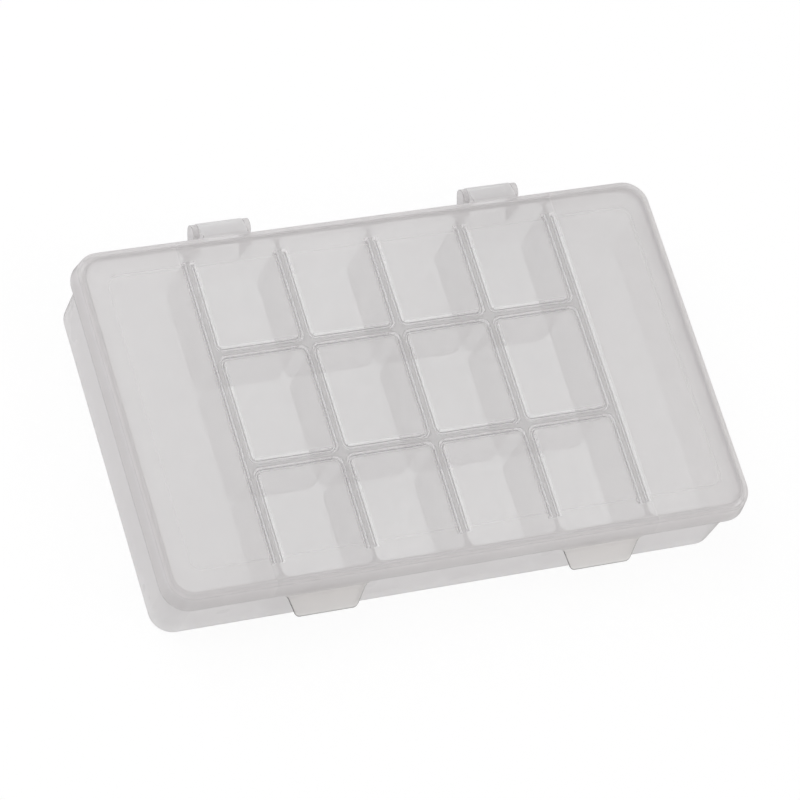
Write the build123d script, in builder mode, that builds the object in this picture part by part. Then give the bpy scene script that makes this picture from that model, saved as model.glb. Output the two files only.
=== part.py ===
import os
from math import acos, atan2, cos, degrees, hypot, radians, sin, tan

from build123d import *

os.makedirs("parts", exist_ok=True)

# Shallow fourteen-compartment bead box of translucent polypropylene: a tray with a fixed grid of
# compartments, and one lid that snaps onto two hinge pins at the back and lifts by two front tabs.
# The hinges are at +Y and the latch tabs at -Y. The box stands on Z = 0, with X = Y = 0 at the
# middle of everything seen from above.

# ---- driving dimensions, in millimetres and degrees ----

# compartment grid: four small columns and three rows between two long end compartments
COLUMN_PITCH = 42.4
ROW_PITCH = 52.8
COLUMNS = 4
ROWS = 3

# tray
TRAY_LENGTH = 263.4
TRAY_DEPTH = 157.0
TRAY_HEIGHT = 40.8
TRAY_CORNER = 10.0
DRAFT = 1.0
WALL = 1.8
FLOOR = 1.8
DIVIDER_TOP = 1.6
DIVIDER_FOOT = 2.2
CELL_CORNER = 3.4
FLOOR_FILLET = 1.5
UNDERSIDE_FILLET = 1.2
RIM_FILLET = 0.35

# lid
LID_TOP = 42.3
LID_SKIRT_BOTTOM = 32.8
LID_LENGTH = 271.0
LID_DEPTH = 164.7
LID_CORNER = 12.0
LID_WALL = 1.4
SKIRT_WALL = 1.5
SKIRT_DRAFT = 7.8
LID_EDGE_FILLET = 2.2
HOLLOW_FILLET = 0.6
PANEL_LENGTH = 246.6
PANEL_DEPTH = 138.2
PANEL_CORNER = 5.0
PANEL_RISE = 0.6
PANEL_SLOPE = 45.0

# sealing ribs under the lid, one loop just inside the mouth of each small compartment
RIB_OFFSET = 2.08
RIB_WALL = 1.25
RIB_BOTTOM = 39.3
RIB_CORNER = 3.0
RIB_END = 70.2

# hinges
FITTING_X = 1.5 * COLUMN_PITCH
HINGE_OUT = 87.5
HINGE_Z = 33.7
PIN_RADIUS = 2.2
PIN_CLEARANCE = 0.06
LUG_RADIUS = 3.7
LUG_WALL = 2.6
LUG_FOOT = 18.5
LUG_ARM_TOP = 32.2
HINGE_WIDTH = 26.4
KNUCKLE_RADIUS = 4.0
KNUCKLE_SIDE_GAP = 0.3
CLIP_MIDDLE = 215.0
CLIP_OPENING = 100.0
ARM_TOP = 40.4

# latch tabs and the catches under them
TAB_TOP_WIDTH = 38.0
TAB_BOTTOM_WIDTH = 27.6
TAB_FLARE = 6.0
TAB_OUT = 89.4
TAB_BOTTOM = 23.3
TAB_BEND_DROP = 1.8
TAB_BEND_RADIUS = 5.0
TAB_CORNER = 3.0
TAB_CHAMFER = 0.2
TAB_STUB = 1.0
TAB_SPLIT_GAP = 0.05
TAB_OVERLAP = 0.6
TAB_STRIP = 57.0
CATCH_LENGTH = 22.0
CATCH_OUT = 1.2
CATCH_BOTTOM = 32.0
CATCH_FACE = 0.6
CATCH_RAMP = 3.0
CATCH_GAP = 0.3
NOSE_LENGTH = 20.0
NOSE_DROP = 0.3
NOSE_DEPTH = 1.4

# how deep lugs and catches are rooted in the tray's wall
ROOT = 0.6

# ---- values worked out from them ----

LEAN = tan(radians(DRAFT))
SKIRT_LEAN = tan(radians(SKIRT_DRAFT))
# the tabs reach forward less than the hinges reach back, so the tray stands a little forward
TRAY_Y = (TAB_OUT - HINGE_OUT - KNUCKLE_RADIUS) / 2
HINGE_Y = TRAY_Y + HINGE_OUT
HINGE_XS = (-FITTING_X, FITTING_X)
COLUMN_LINES = [(n - COLUMNS / 2) * COLUMN_PITCH for n in range(COLUMNS + 1)]
ROW_LINES = [(n - ROWS / 2) * ROW_PITCH for n in range(1, ROWS)]
MOUTH = TRAY_HEIGHT + 2.0    # the fillings of the compartments end above the rim
SKIRT_Y = TRAY_Y - LID_DEPTH / 2
CATCH_Y = TRAY_Y - TRAY_DEPTH / 2 - LEAN * CATCH_BOTTOM
NOSE_Y = CATCH_Y - CATCH_OUT - CATCH_GAP
TAB_SPLIT = LID_SKIRT_BOTTOM - TAB_STUB
LUG_INNER = HINGE_WIDTH / 2 - LUG_WALL
KNUCKLE_HALF = LUG_INNER - KNUCKLE_SIDE_GAP


def upright(edge):
    return abs(edge.tangent_at(0.5).Z) > cos(radians(30))


def polar(angle, radius):
    """Point in a YZ section at an angle and radius from the hinge axis."""
    return (HINGE_Y + radius * cos(radians(angle)), HINGE_Z + radius * sin(radians(angle)))


def tangent_angle(y, z, radius, side):
    """Angle at which a line from (y, z) touches a circle round the hinge axis."""
    towards = degrees(atan2(z - HINGE_Z, y - HINGE_Y))
    return towards + side * degrees(acos(radius / hypot(y - HINGE_Y, z - HINGE_Z)))


def divider_face(line, side):
    """Where the face of a divider stands at the floor and at the mouth of its compartment."""
    foot = side * DIVIDER_FOOT / 2
    lean = (DIVIDER_FOOT - DIVIDER_TOP) / 2 / (TRAY_HEIGHT - FLOOR)
    return line + foot, line + foot - side * lean * (MOUTH - FLOOR)


def wall_face(length, side):
    """Where the inner face of an outer wall stands at the floor and at the mouth."""
    return tuple(side * (length / 2 + LEAN * z - WALL) for z in (FLOOR, MOUTH))


def compartment(left, right, front, back):
    """Filling of one compartment, whose four sides are each given at the floor and at the mouth."""
    with BuildPart() as filling:
        for level, z in enumerate((FLOOR, MOUTH)):
            middle = ((left[level] + right[level]) / 2, TRAY_Y + (front[level] + back[level]) / 2)
            with BuildSketch(Plane.XY.offset(z)):
                with Locations(middle):
                    Rectangle(right[level] - left[level], back[level] - front[level])
        loft(ruled=True)
        # the corners that lie in a corner of the tray are rounder than the rest
        outer_x = TRAY_LENGTH / 2 - 2 * WALL
        corners = filling.edges().filter_by(upright)
        fillet([edge for edge in corners if abs(edge.center().X) <= outer_x], CELL_CORNER)
        outer = [edge for edge in filling.edges().filter_by(upright) if abs(edge.center().X) > outer_x]
        if outer:
            fillet(outer, TRAY_CORNER - WALL)
        fillet(filling.faces().sort_by(Axis.Z)[0].edges(), FLOOR_FILLET)
    return filling.part


def tab_blank(tab_x):
    """Whole finger tab: a curved plate that starts inside the skirt and slopes out to its tip."""
    with BuildPart() as blank:
        with BuildSketch(Plane.YZ.offset(tab_x - TAB_TOP_WIDTH)):
            with BuildLine():
                bend = (SKIRT_Y - SKIRT_LEAN * TAB_BEND_DROP, LID_SKIRT_BOTTOM - TAB_BEND_DROP)
                tip = (TRAY_Y - TAB_OUT, TAB_BOTTOM)
                FilletPolyline((SKIRT_Y + SKIRT_LEAN, LID_SKIRT_BOTTOM + 1), bend,
                               (2 * tip[0] - bend[0], 2 * tip[1] - bend[1]),
                               radius=TAB_BEND_RADIUS)
                offset(amount=SKIRT_WALL, side=Side.LEFT)
            make_face()
        extrude(amount=2 * TAB_TOP_WIDTH)
        # front outline: a trapezoid with round lower corners that flares into the skirt
        with BuildSketch(Plane.XZ.offset(-TRAY_Y)) as outline:
            with BuildLine():
                Polyline((tab_x - TAB_TOP_WIDTH / 2, LID_SKIRT_BOTTOM),
                         (tab_x - TAB_BOTTOM_WIDTH / 2, TAB_BOTTOM),
                         (tab_x + TAB_BOTTOM_WIDTH / 2, TAB_BOTTOM),
                         (tab_x + TAB_TOP_WIDTH / 2, LID_SKIRT_BOTTOM), close=True)
            make_face()
            fillet(outline.vertices().group_by(Axis.Y)[0], TAB_CORNER)
            with Locations((tab_x, LID_SKIRT_BOTTOM)):
                Rectangle(TAB_STRIP, TAB_OVERLAP, align=(Align.CENTER, Align.MIN))
            # the two corners between the trapezoid and the strip, not the strip's own
            roots = [corner for corner in outline.vertices().group_by(Axis.Y)[-2]
                     if abs(corner.X - tab_x) < (TAB_TOP_WIDTH + TAB_STRIP) / 4]
            fillet(roots, TAB_FLARE)
        extrude(amount=LID_DEPTH, mode=Mode.INTERSECT)
        chamfer(blank.edges().filter_by(Axis.X).group_by(Axis.Z)[0], TAB_CHAMFER)
    return blank.part


# ---- tray: one moulding with its dividers, hinge lugs, hinge pins and front catches ----

rows = [wall_face(TRAY_DEPTH, -1), *[face for line in ROW_LINES for face in
        (divider_face(line, -1), divider_face(line, 1))], wall_face(TRAY_DEPTH, 1)]
compartments = []
for column in range(COLUMNS):
    left_face = divider_face(COLUMN_LINES[column], 1)
    right_face = divider_face(COLUMN_LINES[column + 1], -1)
    for row in range(ROWS):
        compartments.append(compartment(left_face, right_face, rows[2 * row], rows[2 * row + 1]))
compartments.append(
    compartment(wall_face(TRAY_LENGTH, -1), divider_face(COLUMN_LINES[0], -1), rows[0], rows[-1])
)
compartments.append(
    compartment(divider_face(COLUMN_LINES[-1], 1), wall_face(TRAY_LENGTH, 1), rows[0], rows[-1])
)

with BuildPart() as tray:
    with BuildSketch():
        with Locations((0, TRAY_Y)):
            RectangleRounded(TRAY_LENGTH, TRAY_DEPTH, TRAY_CORNER)
    extrude(amount=TRAY_HEIGHT, taper=-DRAFT)
    fillet(tray.faces().sort_by(Axis.Z)[0].edges(), UNDERSIDE_FILLET)
    for space in compartments:
        add(space, mode=Mode.SUBTRACT)
    fillet(tray.faces().sort_by(Axis.Z)[-1].edges(), RIM_FILLET)

    # gusseted lugs on the back wall, two for each hinge, with a pin between them
    root_y = TRAY_Y + TRAY_DEPTH / 2 - ROOT
    tangent = tangent_angle(root_y, LUG_FOOT, LUG_RADIUS, 1)
    for hinge_x in HINGE_XS:
        for lug_x in (hinge_x - HINGE_WIDTH / 2, hinge_x + LUG_INNER):
            with BuildSketch(Plane.YZ.offset(lug_x)):
                with Locations((HINGE_Y, HINGE_Z)):
                    Circle(LUG_RADIUS)
                with BuildLine():
                    Polyline((root_y, LUG_FOOT), polar(tangent, LUG_RADIUS), (HINGE_Y, HINGE_Z),
                             (HINGE_Y, LUG_ARM_TOP), (root_y, LUG_ARM_TOP), close=True)
                make_face()
            extrude(amount=LUG_WALL)
        with BuildSketch(Plane.YZ.offset(hinge_x - LUG_INNER - LUG_WALL / 2)):
            with Locations((HINGE_Y, HINGE_Z)):
                Circle(PIN_RADIUS)
        extrude(amount=2 * LUG_INNER + LUG_WALL)

    # wedge-shaped catches on the front wall, behind the skirt of the lid
    for tab_x in HINGE_XS:
        with BuildSketch(Plane.YZ.offset(tab_x - CATCH_LENGTH / 2)):
            with BuildLine():
                Polyline((CATCH_Y + ROOT, CATCH_BOTTOM), (CATCH_Y - CATCH_OUT, CATCH_BOTTOM),
                         (CATCH_Y - CATCH_OUT, CATCH_BOTTOM + CATCH_FACE),
                         (CATCH_Y + ROOT, CATCH_BOTTOM + CATCH_RAMP), close=True)
            make_face()
        extrude(amount=CATCH_LENGTH)

tray.part.label = "tray"
export_step(tray.part, "parts/tray.step")


# ---- lid: skirt, raised panel, sealing ribs and the two clip knuckles, in one moulding ----

with BuildSketch(Plane.XY.offset(RIB_BOTTOM)) as ribs:
    cell_length = COLUMN_PITCH - 2 * RIB_OFFSET
    cell_depth = ROW_PITCH - 2 * RIB_OFFSET
    # the loops of the front and back rows run on past the panel, so they become open U shapes
    loop_depths = (2 * ROW_PITCH - 2 * RIB_OFFSET, cell_depth, 2 * ROW_PITCH - 2 * RIB_OFFSET)
    loop_middles = (-1.5 * ROW_PITCH, 0, 1.5 * ROW_PITCH)
    for column in range(COLUMNS):
        middle_x = (COLUMN_LINES[column] + COLUMN_LINES[column + 1]) / 2
        for middle_y, depth in zip(loop_middles, loop_depths):
            with Locations((middle_x, TRAY_Y + middle_y)):
                RectangleRounded(cell_length + RIB_WALL, depth + RIB_WALL, RIB_CORNER + RIB_WALL / 2)
                RectangleRounded(cell_length - RIB_WALL, depth - RIB_WALL, RIB_CORNER - RIB_WALL / 2,
                                 mode=Mode.SUBTRACT)
    rib_straight = RIB_END - RIB_WALL / 2
    with Locations((0, TRAY_Y)):
        Rectangle(PANEL_LENGTH, 2 * rib_straight, mode=Mode.INTERSECT)
    for line in COLUMN_LINES:
        for rib_x in (line - RIB_OFFSET, line + RIB_OFFSET):
            if abs(rib_x) > COLUMN_LINES[-1]:
                with Locations((rib_x, TRAY_Y)):
                    Rectangle(RIB_WALL, 2 * rib_straight)
            with Locations((rib_x, TRAY_Y - rib_straight), (rib_x, TRAY_Y + rib_straight)):
                Circle(RIB_WALL / 2)

# hollow of the skirt, and the shallower hollow under the raised panel
with BuildPart() as hollow:
    skirt_inset = 2 * SKIRT_WALL / cos(radians(SKIRT_DRAFT))
    with BuildSketch(Plane.XY.offset(LID_SKIRT_BOTTOM)):
        with Locations((0, TRAY_Y)):
            RectangleRounded(LID_LENGTH - skirt_inset, LID_DEPTH - skirt_inset,
                             LID_CORNER - SKIRT_WALL)
    extrude(amount=LID_TOP - LID_WALL - LID_SKIRT_BOTTOM, taper=SKIRT_DRAFT)
    fillet(hollow.faces().sort_by(Axis.Z)[-1].edges(), HOLLOW_FILLET)
    panel_inset = 2 * LID_WALL * tan(radians(PANEL_SLOPE / 2))
    with BuildSketch(Plane.XY.offset(LID_TOP - LID_WALL)):
        with Locations((0, TRAY_Y)):
            RectangleRounded(PANEL_LENGTH - panel_inset, PANEL_DEPTH - panel_inset, PANEL_CORNER)
    extrude(amount=PANEL_RISE, taper=PANEL_SLOPE)

with BuildPart() as lid:
    with BuildSketch(Plane.XY.offset(LID_SKIRT_BOTTOM)):
        with Locations((0, TRAY_Y)):
            RectangleRounded(LID_LENGTH, LID_DEPTH, LID_CORNER)
    extrude(amount=LID_TOP - LID_SKIRT_BOTTOM, taper=SKIRT_DRAFT)
    fillet(lid.faces().sort_by(Axis.Z)[-1].edges(), LID_EDGE_FILLET)
    with BuildSketch(Plane.XY.offset(LID_TOP)):
        with Locations((0, TRAY_Y)):
            RectangleRounded(PANEL_LENGTH, PANEL_DEPTH, PANEL_CORNER)
    extrude(amount=PANEL_RISE, taper=PANEL_SLOPE)
    add(hollow.part, mode=Mode.SUBTRACT)
    add(ribs.sketch)
    extrude(amount=LID_TOP + PANEL_RISE - LID_WALL / 2 - RIB_BOTTOM)

    # clip knuckles: a C-shaped ring round each hinge pin, on an arm from the skirt
    arm_y = TRAY_Y + LID_DEPTH / 2 - SKIRT_WALL
    tangent = tangent_angle(arm_y, ARM_TOP, KNUCKLE_RADIUS, -1)
    lips = (CLIP_MIDDLE - CLIP_OPENING / 2, CLIP_MIDDLE + CLIP_OPENING / 2)
    for hinge_x in HINGE_XS:
        with BuildSketch(Plane.YZ.offset(hinge_x - KNUCKLE_HALF)):
            with Locations((HINGE_Y, HINGE_Z)):
                Circle(KNUCKLE_RADIUS)
            with BuildLine():
                Polyline((HINGE_Y, HINGE_Z), polar(lips[0], 2 * KNUCKLE_RADIUS),
                         polar(CLIP_MIDDLE, 2 * KNUCKLE_RADIUS), polar(lips[1], 2 * KNUCKLE_RADIUS),
                         close=True)
            make_face(mode=Mode.SUBTRACT)
            lip_y, lip_z = polar(lips[0], KNUCKLE_RADIUS)
            with BuildLine():
                Polyline((arm_y, lip_z), (lip_y, lip_z), polar(tangent, KNUCKLE_RADIUS),
                         (arm_y, ARM_TOP), close=True)
            make_face()
            with Locations((HINGE_Y, HINGE_Z)):
                Circle(PIN_RADIUS + PIN_CLEARANCE, mode=Mode.SUBTRACT)
        extrude(amount=2 * KNUCKLE_HALF)

    # roots of the finger tabs, down to the lines where the tabs flex
    for tab_x in HINGE_XS:
        add(split(tab_blank(tab_x), bisect_by=Plane.XY.offset(TAB_SPLIT), keep=Keep.TOP,
                  mode=Mode.PRIVATE))

lid.part.label = "lid"
export_step(lid.part, "parts/lid.step")


# ---- latch tabs: each is a tab blank from its flexure line down, with a snap nose ----

for name, tab_x in zip(("latch_left", "latch_right"), HINGE_XS):
    with BuildPart() as latch:
        add(tab_blank(tab_x))
        split(bisect_by=Plane.XY.offset(TAB_SPLIT - TAB_SPLIT_GAP), keep=Keep.BOTTOM)
        # nose along the root, level with the underside of the catch
        with BuildSketch(Plane.YZ.offset(tab_x - NOSE_LENGTH / 2)):
            with BuildLine():
                Polyline((NOSE_Y, TAB_SPLIT - NOSE_DROP), (NOSE_Y, TAB_SPLIT - 2 * NOSE_DROP),
                         (NOSE_Y - NOSE_DEPTH, TAB_SPLIT - 2 * NOSE_DROP - NOSE_DEPTH),
                         (NOSE_Y - NOSE_DEPTH, TAB_SPLIT - NOSE_DROP), close=True)
            make_face()
        extrude(amount=NOSE_LENGTH)
    latch.part.label = name
    export_step(latch.part, f"parts/{name}.step")
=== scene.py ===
from math import cos, radians, sin

import bpy
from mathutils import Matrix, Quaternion, Vector

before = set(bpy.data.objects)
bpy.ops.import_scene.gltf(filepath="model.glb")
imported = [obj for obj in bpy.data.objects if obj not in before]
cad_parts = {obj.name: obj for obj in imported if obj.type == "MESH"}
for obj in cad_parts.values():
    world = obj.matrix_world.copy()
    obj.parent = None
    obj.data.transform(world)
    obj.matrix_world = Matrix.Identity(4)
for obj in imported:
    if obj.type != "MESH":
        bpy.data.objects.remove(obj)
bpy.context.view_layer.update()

MM = 0.001

# ---- camera: the box seen from its front left corner, with the camera itself rolled ----

CAMERA_AZIMUTH = 46.43        # degrees from the front towards the left side
CAMERA_ELEVATION = 58.54
CAMERA_ROLL = 33.26
CAMERA_DISTANCE = 1891 * MM
CAMERA_AIM = Vector((-0.7, 1.2, 20)) * MM
SENSOR_MM = 36.0
LENS_MM = 197.3


def add_camera():
    azimuth, elevation = radians(CAMERA_AZIMUTH), radians(CAMERA_ELEVATION)
    towards = Vector((-sin(azimuth) * cos(elevation), -cos(azimuth) * cos(elevation), sin(elevation)))
    data = bpy.data.cameras.new("camera")
    data.sensor_width = SENSOR_MM
    data.lens = LENS_MM
    camera = bpy.data.objects.new("camera", data)
    camera.location = CAMERA_AIM + towards * CAMERA_DISTANCE
    camera.rotation_mode = "QUATERNION"
    level = (-towards).to_track_quat("-Z", "Y")
    camera.rotation_quaternion = level @ Quaternion((0, 0, 1), radians(CAMERA_ROLL))
    bpy.context.scene.collection.objects.link(camera)
    bpy.context.scene.camera = camera


# ---- node helpers ----

class Nodes:
    """A material's or the world's node tree, emptied, with short ways to add and link nodes."""

    def __init__(self, owner):
        owner.use_nodes = True
        self.tree = owner.node_tree
        self.tree.nodes.clear()

    def put(self, socket, value):
        if isinstance(value, bpy.types.NodeSocket):
            self.tree.links.new(value, socket)
        else:
            socket.default_value = value

    def add(self, kind, **inputs):
        node = self.tree.nodes.new(kind)
        for name, value in inputs.items():
            self.put(node.inputs[name.replace("_", " ")], value)
        return node

    def math(self, operation, *values, clamp=False):
        node = self.tree.nodes.new("ShaderNodeMath")
        node.operation = operation
        node.use_clamp = clamp
        for socket, value in zip(node.inputs, values):
            self.put(socket, value)
        return node.outputs[0]

    def product(self, first, *others):
        for other in others:
            first = self.math("MULTIPLY", first, other)
        return first

    def axes(self, vector):
        split = self.add("ShaderNodeSeparateXYZ", Vector=vector)
        return [split.outputs[axis] for axis in "XYZ"]

    def distance(self, first, second):
        return self.math("ABSOLUTE", self.math("SUBTRACT", first, second))

    def hypotenuse(self, first, second):
        return self.math("SQRT", self.math("ADD", self.product(first, first), self.product(second, second)))

    def less(self, value, share):
        """value, lowered by that share of itself."""
        return self.math("MULTIPLY", value, self.math("SUBTRACT", 1.0, share))

    def near(self, value, middle, reach):
        """1 within reach of middle, else 0."""
        return self.math("COMPARE", value, middle, reach)

    def mix_shader(self, factor, first, second):
        node = self.tree.nodes.new("ShaderNodeMixShader")
        for socket, value in zip(node.inputs, (factor, first, second)):
            self.put(socket, value)
        return node.outputs[0]

    def mix_colour(self, factor, first, second):
        node = self.tree.nodes.new("ShaderNodeMix")
        node.data_type = "RGBA"
        colour_sockets = node.inputs[0], node.inputs[6], node.inputs[7]
        for socket, value in zip(colour_sockets, (factor, first, second)):
            self.put(socket, value)
        return node.outputs[2]

    def output(self, shader, kind="ShaderNodeOutputMaterial"):
        self.tree.links.new(shader, self.tree.nodes.new(kind).inputs["Surface"])


def seen_directly(nodes):
    """1 for rays from the camera, or that reach it by gloss or through glass."""
    path = nodes.add("ShaderNodeLightPath")
    either = nodes.math("MAXIMUM", path.outputs["Is Camera Ray"], path.outputs["Is Glossy Ray"])
    return nodes.math("MAXIMUM", either, path.outputs["Is Transmission Ray"])


# ---- stage: white floor, soft light ----

FLOOR_SIZE = 8.0
FLOOR_DROP = 0.2 * MM
FLOOR_COLOUR = (0.9, 0.9, 0.9, 1)
WHITE = (1, 1, 1, 1)
FLOOR_GLOW = 1.02             # just white away from the object
FLOOR_GLOW_SHARE = 0.88       # the rest shows the object's faint shadow
AMBIENT = 0.6
LAMP_TARGET = Vector((0, 0, 20)) * MM


def add_stage():
    world = bpy.data.worlds.new("studio")
    bpy.context.scene.world = world
    nodes = Nodes(world)
    white = nodes.add("ShaderNodeBackground", Color=WHITE, Strength=1.0)
    ambient = nodes.add("ShaderNodeBackground", Color=WHITE, Strength=AMBIENT)
    nodes.output(nodes.mix_shader(seen_directly(nodes), ambient.outputs[0], white.outputs[0]),
                 "ShaderNodeOutputWorld")

    mesh = bpy.data.meshes.new("floor")
    half = FLOOR_SIZE / 2
    mesh.from_pydata([(-half, -half, 0), (half, -half, 0), (half, half, 0), (-half, half, 0)], [],
                     [(0, 1, 2, 3)])
    floor = bpy.data.objects.new("floor", mesh)
    floor.location.z = -FLOOR_DROP
    bpy.context.scene.collection.objects.link(floor)
    material = bpy.data.materials.new("floor_white")
    nodes = Nodes(material)
    glow = nodes.add("ShaderNodeEmission", Color=WHITE, Strength=FLOOR_GLOW)
    lit = nodes.add("ShaderNodeBsdfDiffuse", Color=FLOOR_COLOUR)
    share = nodes.product(seen_directly(nodes), FLOOR_GLOW_SHARE)
    nodes.output(nodes.mix_shader(share, lit.outputs[0], glow.outputs[0]))
    mesh.materials.append(material)


def add_area_light(name, location, size, power, colour):
    data = bpy.data.lights.new(name, "AREA")
    data.shape = "SQUARE"
    data.size = size
    data.energy = power
    data.color = colour
    lamp = bpy.data.objects.new(name, data)
    lamp.location = location
    lamp.rotation_mode = "QUATERNION"
    lamp.rotation_quaternion = (LAMP_TARGET - Vector(location)).to_track_quat("-Z", "Y")
    bpy.context.scene.collection.objects.link(lamp)


# ---- where the tray and the lid change their look, in the part's own frame ----

MIDDLE_Y = -1.05 * MM         # the tray and the lid stand a little forward of Y = 0
CORNER_X, CORNER_Y = 121.7 * MM, 68.5 * MM             # middles of the tray's rounded corners
WALL_SPLIT = 9.3 * MM         # out from those middles, between a wall's inner and outer skin
BORDER_FROM = 9.9 * MM        # out from those middles, where the lid's border starts
BACK_WALL_Y, BACK_WALL_REACH = 74.0 * MM, 5.0 * MM
RIM_LOW = 40.35 * MM          # above this are the tray's rim and the tops of its dividers

COLUMN_PITCH = 42.4 * MM
OUTER_COLUMN = 2 * COLUMN_PITCH                        # the dividers beside the end compartments
ROW_LINE = 26.4 * MM          # the dividers between rows, from the tray's middle
RIB_OFFSET = 2.08 * MM        # from a divider's middle to the middle of the rib beside it
RIB_CORNER = 3.0 * MM
RIB_TURN = RIB_OFFSET + RIB_CORNER                     # from a divider's middle, where a rib turns
RIB_BAND = 3.3 * MM           # from a divider's middle to just past the rib beside it
RIB_CORE, RIB_END = 0.35 * MM, 69.9 * MM               # past these a rib shows its edge line
RIB_REACH_X, RIB_REACH_Y = 88.1 * MM, 71.0 * MM        # all ribs lie within these
RIB_TOP, RIB_EDGE_TOP = 40.7 * MM, 39.6 * MM           # tops of a rib's tint and of its edge line

LID_SKIN_LOW, LID_SKIN_HIGH = 41.9 * MM, 42.27 * MM    # between the lid's underside and its top
UPPER_SLOPE, LOWER_SLOPE, SLOPE_HALF = 42.6 * MM, 41.2 * MM, 0.28 * MM     # round the raised panel
LID_EDGES_TOP = 40.0 * MM     # the skirt's sharp edges are below this
HINGE_FROM_Y = 82.0 * MM
SEAM_Z, SEAM_Y = 31.8 * MM, -83.0 * MM                 # where a latch meets its root on the lid
SEAM_REACH = 0.6 * MM         # no edge line shows this close to the seam
SEAM_FACE_REACH = 0.08 * MM   # the two faces that meet there show no haze


def from_middle(nodes, x, y):
    return nodes.math("ABSOLUTE", x), nodes.distance(y, MIDDLE_Y)


def past_corners(nodes, x, y):
    """How far out a point is from the rectangle through the middles of the corners."""
    across, along = from_middle(nodes, x, y)
    past_x = nodes.math("MAXIMUM", nodes.math("SUBTRACT", across, CORNER_X), 0.0)
    past_y = nodes.math("MAXIMUM", nodes.math("SUBTRACT", along, CORNER_Y), 0.0)
    return nodes.hypotenuse(past_x, past_y)


def column_distance(nodes, x):
    """How far x is from the nearest line between two columns."""
    line = nodes.product(nodes.math("ROUND", nodes.math("DIVIDE", x, COLUMN_PITCH)), COLUMN_PITCH)
    return nodes.distance(x, line)


def rib_distance(nodes, x, across, along):
    """How far a point under the lid is from the middle line of the nearest rib."""
    column = nodes.math("SUBTRACT", RIB_TURN, column_distance(nodes, x))
    row = nodes.math("SUBTRACT", RIB_TURN, nodes.distance(along, ROW_LINE))
    # the two outermost ribs run straight past the rows, so there the rows count as far away
    row = nodes.math("SUBTRACT", row, nodes.math("GREATER_THAN", across, OUTER_COLUMN))
    turned = nodes.hypotenuse(nodes.math("MAXIMUM", column, 0.0), nodes.math("MAXIMUM", row, 0.0))
    straight = nodes.math("MINIMUM", nodes.math("MAXIMUM", column, row), 0.0)
    return nodes.distance(nodes.math("ADD", turned, straight), RIB_CORNER)


# ---- materials: milky polypropylene ----
#
# Each skin of a wall lets light straight through, or scatters it forwards and back. Seen at a
# slant it is a longer way through, so it shows more haze. Sharp edges carry a thin painted dark
# line (painted shade), and some tints are painted light and shade, as marked where they are set.

# Painted light and shade on the tray: its own tint is painted lighter than the lid's, in place of light
# from below; walls facing sideways and the outer skin are painted darker.
TRAY_LIT_COLOUR, TRAY_SIDE_SHADE_COLOUR = (0.95, 0.935, 0.94, 1), (0.85, 0.837, 0.842, 1)
TRAY_OUTER_SHADE_COLOUR, TRAY_RIM_COLOUR = (0.84, 0.825, 0.828, 1), (0.65, 0.637, 0.64, 1)
# Painted light and shade on the lid: the ribs' darker tint is a painted shade, and the latches' and the
# hinge's lighter tints are painted light, all copies of the lid's one plastic.
LID_COLOUR, RIB_SHADE_COLOUR = (0.85, 0.836, 0.838, 1), (0.76, 0.747, 0.75, 1)
LATCH_LIT_COLOUR, HINGE_LIT_COLOUR = (0.91, 0.895, 0.885, 1), (0.90, 0.895, 0.897, 1)
# painted shade: the dark lines along sharp edges, in place of light bent there
EDGE_SHADE_COLOUR, RIB_EDGE_SHADE_COLOUR = (0.05, 0.05, 0.05, 1), (0.61, 0.6, 0.602, 1)

# the haze's thickness: 1 is one skin of ordinary haze
TRAY_THICKNESS, OUTER_EXTRA, RIM_EXTRA = 0.9, 1.9, 2.6
UPRIGHT_EXTRA = -0.3          # inner walls are a little clearer than floors
BACK_WALL_SHARE = 0.6         # so much less of the outer skin's look at the back
LID_UNDERSIDE, LID_UPPERSIDE = 1.7, 0.3
END_EXTRA, BORDER_EXTRA = 0.4, 0.8                     # over the end compartments; at the border
RIB_CLEARING, SLOPE_CLEARING = 0.75, 0.35

SIDE_SHADE_FROM = 0.25          # a normal's X past which a wall faces sideways and gets the painted side shade
UPRIGHT_BELOW = 0.75          # a normal's Z under which a face is a wall

EDGE_GAIN = 24.0              # brings a bevel's turn up to a full line
BEVEL_SAMPLES = 4
LEAST_COSINE = 0.08           # keeps the way through finite where a skin is seen edge on
SLANT = 0.6                   # light bends as it enters, so a slant adds less than it would in air
GRAZING_FROM, GRAZING_TO, GRAZING_SHARE = 0.72, 0.97, 0.4        # painted shade: skins seen edge on are tinted darker
FLOW_SCALE, GRAIN_SCALE = 38.0, 900.0
FLOW_LEAST, FLOW_SPAN = 0.8, 0.4                       # how the flow varies the haze
FLOW_LOW, FLOW_HIGH = 0.3, 0.7                         # most of the flow noise lies between these
SMOOTHEST, ROUGHEST = 0.26, 0.42                       # roughness at those two
BUMP_STRENGTH, BUMP_DISTANCE = 0.03, 0.2 * MM
SKIN_IOR, SKIN_SPECULAR = 1.3, 0.3
FORWARD_SHARE = 0.5


def edge_mask(nodes, radius):
    """1 along a sharp edge, falling to 0 at radius from it."""
    bevel = nodes.add("ShaderNodeBevel", Radius=radius)
    bevel.samples = BEVEL_SAMPLES
    dot = nodes.tree.nodes.new("ShaderNodeVectorMath")
    dot.operation = "DOT_PRODUCT"
    nodes.put(dot.inputs[0], bevel.outputs[0])
    nodes.put(dot.inputs[1], nodes.add("ShaderNodeNewGeometry").outputs["Normal"])
    turn = nodes.math("SUBTRACT", 1.0, dot.outputs["Value"])
    return nodes.math("MULTIPLY", turn, EDGE_GAIN, clamp=True)


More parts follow.
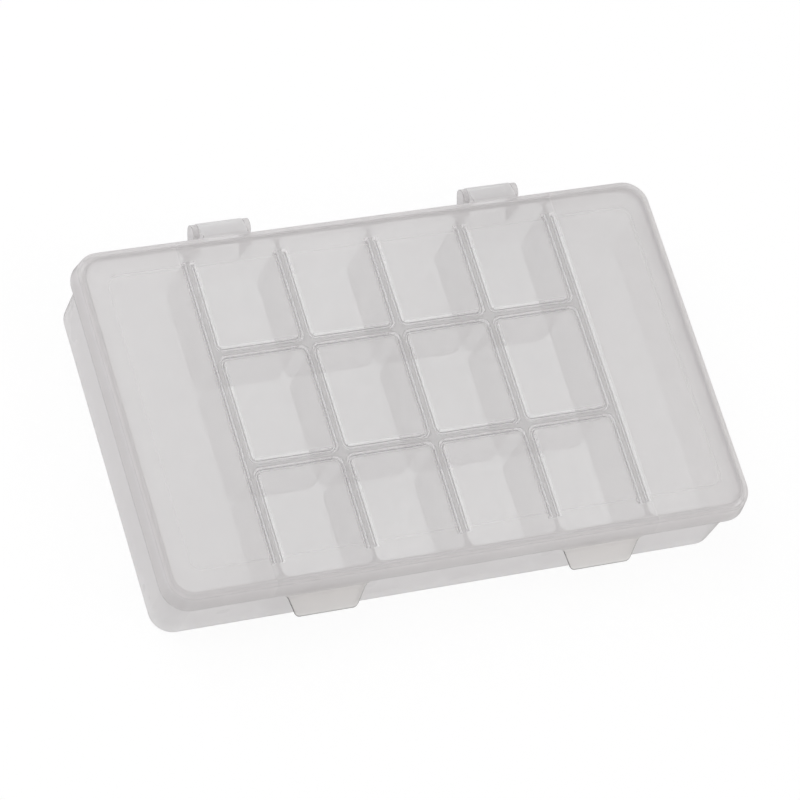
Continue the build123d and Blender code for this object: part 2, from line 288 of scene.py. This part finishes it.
def tray_look(nodes, coordinates, colour, edge):
    """The haze's thickness, the edge lines, the tint and the edge lines' colour, for the tray.

    They change at the outer skin (with the hinge lugs and the catches), at walls that face
    sideways, at upright inner walls and at the rim. The sideways walls' and the outer skin's
    darker tints are painted shade, and the tray's own tint is painted light.
    """
    x, y, z = nodes.axes(coordinates.outputs["Object"])
    facing_x, _, facing_z = nodes.axes(coordinates.outputs["Normal"])
    outer = nodes.math("GREATER_THAN", past_corners(nodes, x, y), WALL_SPLIT)
    back_wall = nodes.near(y, BACK_WALL_Y, BACK_WALL_REACH)
    outer = nodes.less(outer, nodes.product(back_wall, BACK_WALL_SHARE))
    rim = nodes.math("GREATER_THAN", z, RIM_LOW)
    sideways = nodes.math("GREATER_THAN", nodes.math("ABSOLUTE", facing_x), SIDE_SHADE_FROM)
    upright = nodes.math("LESS_THAN", nodes.math("ABSOLUTE", facing_z), UPRIGHT_BELOW)

    thickness = nodes.math("MULTIPLY_ADD", nodes.less(upright, outer), UPRIGHT_EXTRA, TRAY_THICKNESS)
    thickness = nodes.math("MULTIPLY_ADD", outer, OUTER_EXTRA, thickness)
    thickness = nodes.math("MULTIPLY_ADD", rim, RIM_EXTRA, thickness)
    # painted shade: walls facing sideways and the outer skin get darker tints
    tint = nodes.mix_colour(sideways, colour, TRAY_SIDE_SHADE_COLOUR)
    tint = nodes.mix_colour(outer, tint, TRAY_OUTER_SHADE_COLOUR)
    return thickness, edge, nodes.mix_colour(rim, tint, TRAY_RIM_COLOUR), EDGE_SHADE_COLOUR


def lid_edges(nodes, x, y, z, ribbed, edge):
    """Painted shade lines along the ribs' lower edges and the skirt's, with none at the latches' seams."""
    across, along = from_middle(nodes, x, y)
    off_core = nodes.math("GREATER_THAN", rib_distance(nodes, x, across, along), RIB_CORE)
    off_core = nodes.math("MAXIMUM", off_core, nodes.math("GREATER_THAN", along, RIB_END))
    rib_edge = nodes.product(ribbed, off_core, nodes.math("LESS_THAN", z, RIB_EDGE_TOP))
    hinge = nodes.math("GREATER_THAN", y, HINGE_FROM_Y)
    skirt = nodes.less(nodes.less(nodes.math("LESS_THAN", z, LID_EDGES_TOP), ribbed), hinge)
    at_front = nodes.math("LESS_THAN", y, SEAM_Y)
    seam = nodes.product(nodes.near(z, SEAM_Z, SEAM_REACH), at_front)
    return nodes.math("MAXIMUM", rib_edge, nodes.less(nodes.product(edge, skirt), seam))


def lid_thickness(nodes, x, y, z, ribbed):
    """How thick the lid's haze is: most at the underside and the border, least over the ribs."""
    across, along = from_middle(nodes, x, y)
    skin = nodes.add("ShaderNodeMapRange", Value=z, From_Min=LID_SKIN_LOW, From_Max=LID_SKIN_HIGH,
                     To_Min=LID_UNDERSIDE, To_Max=LID_UPPERSIDE).outputs[0]
    band = nodes.math("MAXIMUM", nodes.math("LESS_THAN", column_distance(nodes, x), RIB_BAND),
                      nodes.near(along, ROW_LINE, RIB_BAND))
    thickness = nodes.less(skin, nodes.product(nodes.product(ribbed, band), RIB_CLEARING))
    at_front = nodes.math("LESS_THAN", y, SEAM_Y)
    seam_face = nodes.product(nodes.near(z, SEAM_Z, SEAM_FACE_REACH), at_front)
    slope = nodes.math("MAXIMUM", nodes.near(z, UPPER_SLOPE, SLOPE_HALF),
                       nodes.near(z, LOWER_SLOPE, SLOPE_HALF))
    clearing = nodes.math("MAXIMUM", seam_face, nodes.product(slope, SLOPE_CLEARING))
    thickness = nodes.less(thickness, clearing)
    over_ends = nodes.math("GREATER_THAN", across, RIB_REACH_X)
    thickness = nodes.math("MULTIPLY_ADD", over_ends, END_EXTRA, thickness)
    border = nodes.math("GREATER_THAN", past_corners(nodes, x, y), BORDER_FROM)
    return nodes.math("MULTIPLY_ADD", border, BORDER_EXTRA, thickness)


def lid_look(nodes, coordinates, colour, edge):
    """The same four as tray_look gives, for the lid and its latches.

    The ribs' darker tint is a painted shade, and the hinge's lighter tint is painted light.
    """
    x, y, z = nodes.axes(coordinates.outputs["Object"])
    across, along = from_middle(nodes, x, y)
    ribbed = nodes.product(nodes.math("LESS_THAN", across, RIB_REACH_X),
                           nodes.math("LESS_THAN", along, RIB_REACH_Y))
    rib = nodes.product(ribbed, nodes.math("LESS_THAN", z, RIB_TOP))
    hinge = nodes.math("GREATER_THAN", y, HINGE_FROM_Y)
    # painted shade on the ribs, painted light on the hinge
    tint = nodes.mix_colour(hinge, nodes.mix_colour(rib, colour, RIB_SHADE_COLOUR), HINGE_LIT_COLOUR)
    return (lid_thickness(nodes, x, y, z, ribbed), lid_edges(nodes, x, y, z, ribbed, edge), tint,
            nodes.mix_colour(rib, EDGE_SHADE_COLOUR, RIB_EDGE_SHADE_COLOUR))


def polypropylene(name, look, colour, haze, edge_radius, edge_haze):
    """haze is what one skin scatters of a ray that meets it squarely, edge_haze what a line adds."""
    material = bpy.data.materials.new(name)
    nodes = Nodes(material)
    coordinates = nodes.add("ShaderNodeTexCoord")
    place = coordinates.outputs["Object"]
    flow = nodes.add("ShaderNodeTexNoise", Vector=place, Scale=FLOW_SCALE, Detail=2.0).outputs["Fac"]
    grain = nodes.add("ShaderNodeTexNoise", Vector=place, Scale=GRAIN_SCALE, Detail=1.0).outputs["Fac"]
    edge = edge_mask(nodes, edge_radius)
    thickness, edge, tint, edge_shade_tint = look(nodes, coordinates, colour, edge)

    facing = nodes.add("ShaderNodeLayerWeight", Blend=0.5).outputs["Facing"]
    cosine = nodes.math("MAXIMUM", nodes.math("SUBTRACT", 1.0, facing), LEAST_COSINE)
    varied = nodes.product(nodes.math("MULTIPLY_ADD", flow, FLOW_SPAN, FLOW_LEAST), thickness)
    way = nodes.math("DIVIDE", varied, nodes.math("POWER", cosine, SLANT))
    # painted shade: along a sharp edge the skin is made less clear, and darker below
    clearness = nodes.less(nodes.math("POWER", 1.0 - haze, way), nodes.product(edge, edge_haze))

    # painted shade: the tint darkens along sharp edges and where a skin is seen edge on
    grazing_shade = nodes.add("ShaderNodeMapRange", Value=facing, From_Min=GRAZING_FROM,
                        From_Max=GRAZING_TO, To_Min=0.0, To_Max=GRAZING_SHARE).outputs[0]
    tint = nodes.mix_colour(nodes.math("MAXIMUM", edge, grazing_shade), tint, edge_shade_tint)
    roughness = nodes.add("ShaderNodeMapRange", Value=flow, From_Min=FLOW_LOW, From_Max=FLOW_HIGH,
                          To_Min=SMOOTHEST, To_Max=ROUGHEST).outputs[0]
    bump = nodes.add("ShaderNodeBump", Strength=BUMP_STRENGTH, Distance=BUMP_DISTANCE, Height=grain)
    back_scatter = nodes.add("ShaderNodeBsdfPrincipled", Base_Color=tint, Roughness=roughness,
                             IOR=SKIN_IOR, Specular_IOR_Level=SKIN_SPECULAR, Normal=bump.outputs[0])
    forward_scatter = nodes.add("ShaderNodeBsdfTranslucent", Color=tint)
    milk = nodes.mix_shader(FORWARD_SHARE, back_scatter.outputs[0], forward_scatter.outputs[0])
    clear = nodes.add("ShaderNodeBsdfTransparent", Color=WHITE)
    nodes.output(nodes.mix_shader(clearness, milk, clear.outputs[0]))
    return material


def dress():
    tray = polypropylene("tray_polypropylene", tray_look, TRAY_LIT_COLOUR,
                         haze=0.23, edge_radius=0.3 * MM, edge_haze=0.15)
    lid = polypropylene("lid_polypropylene", lid_look, LID_COLOUR,
                        haze=0.30, edge_radius=0.3 * MM, edge_haze=1.0)
    # the latches' lighter tint is painted light
    latch = polypropylene("latch_polypropylene", lid_look, LATCH_LIT_COLOUR,
                          haze=0.30, edge_radius=0.7 * MM, edge_haze=0.75)
    dresses = {"tray": tray, "lid": lid, "latch_left": latch, "latch_right": latch}
    for name, material in dresses.items():
        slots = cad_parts[name].data.materials
        slots.clear()
        slots.append(material)


# ---- build ----

scene = bpy.context.scene
scene.view_settings.view_transform = "Standard"
scene.cycles.transparent_max_bounces = 64
scene.cycles.max_bounces = 10
scene.cycles.diffuse_bounces = 3
scene.cycles.transmission_bounces = 6

add_camera()
add_stage()
add_area_light("key_light", location=(-0.9, 0.6, 1.6), size=1.8, power=14.5, colour=(0.99, 0.985, 1.0))
add_area_light("fill_light", location=(1.2, -0.9, 1.4), size=1.6, power=8.5, colour=(1.0, 0.975, 0.93))
dress()
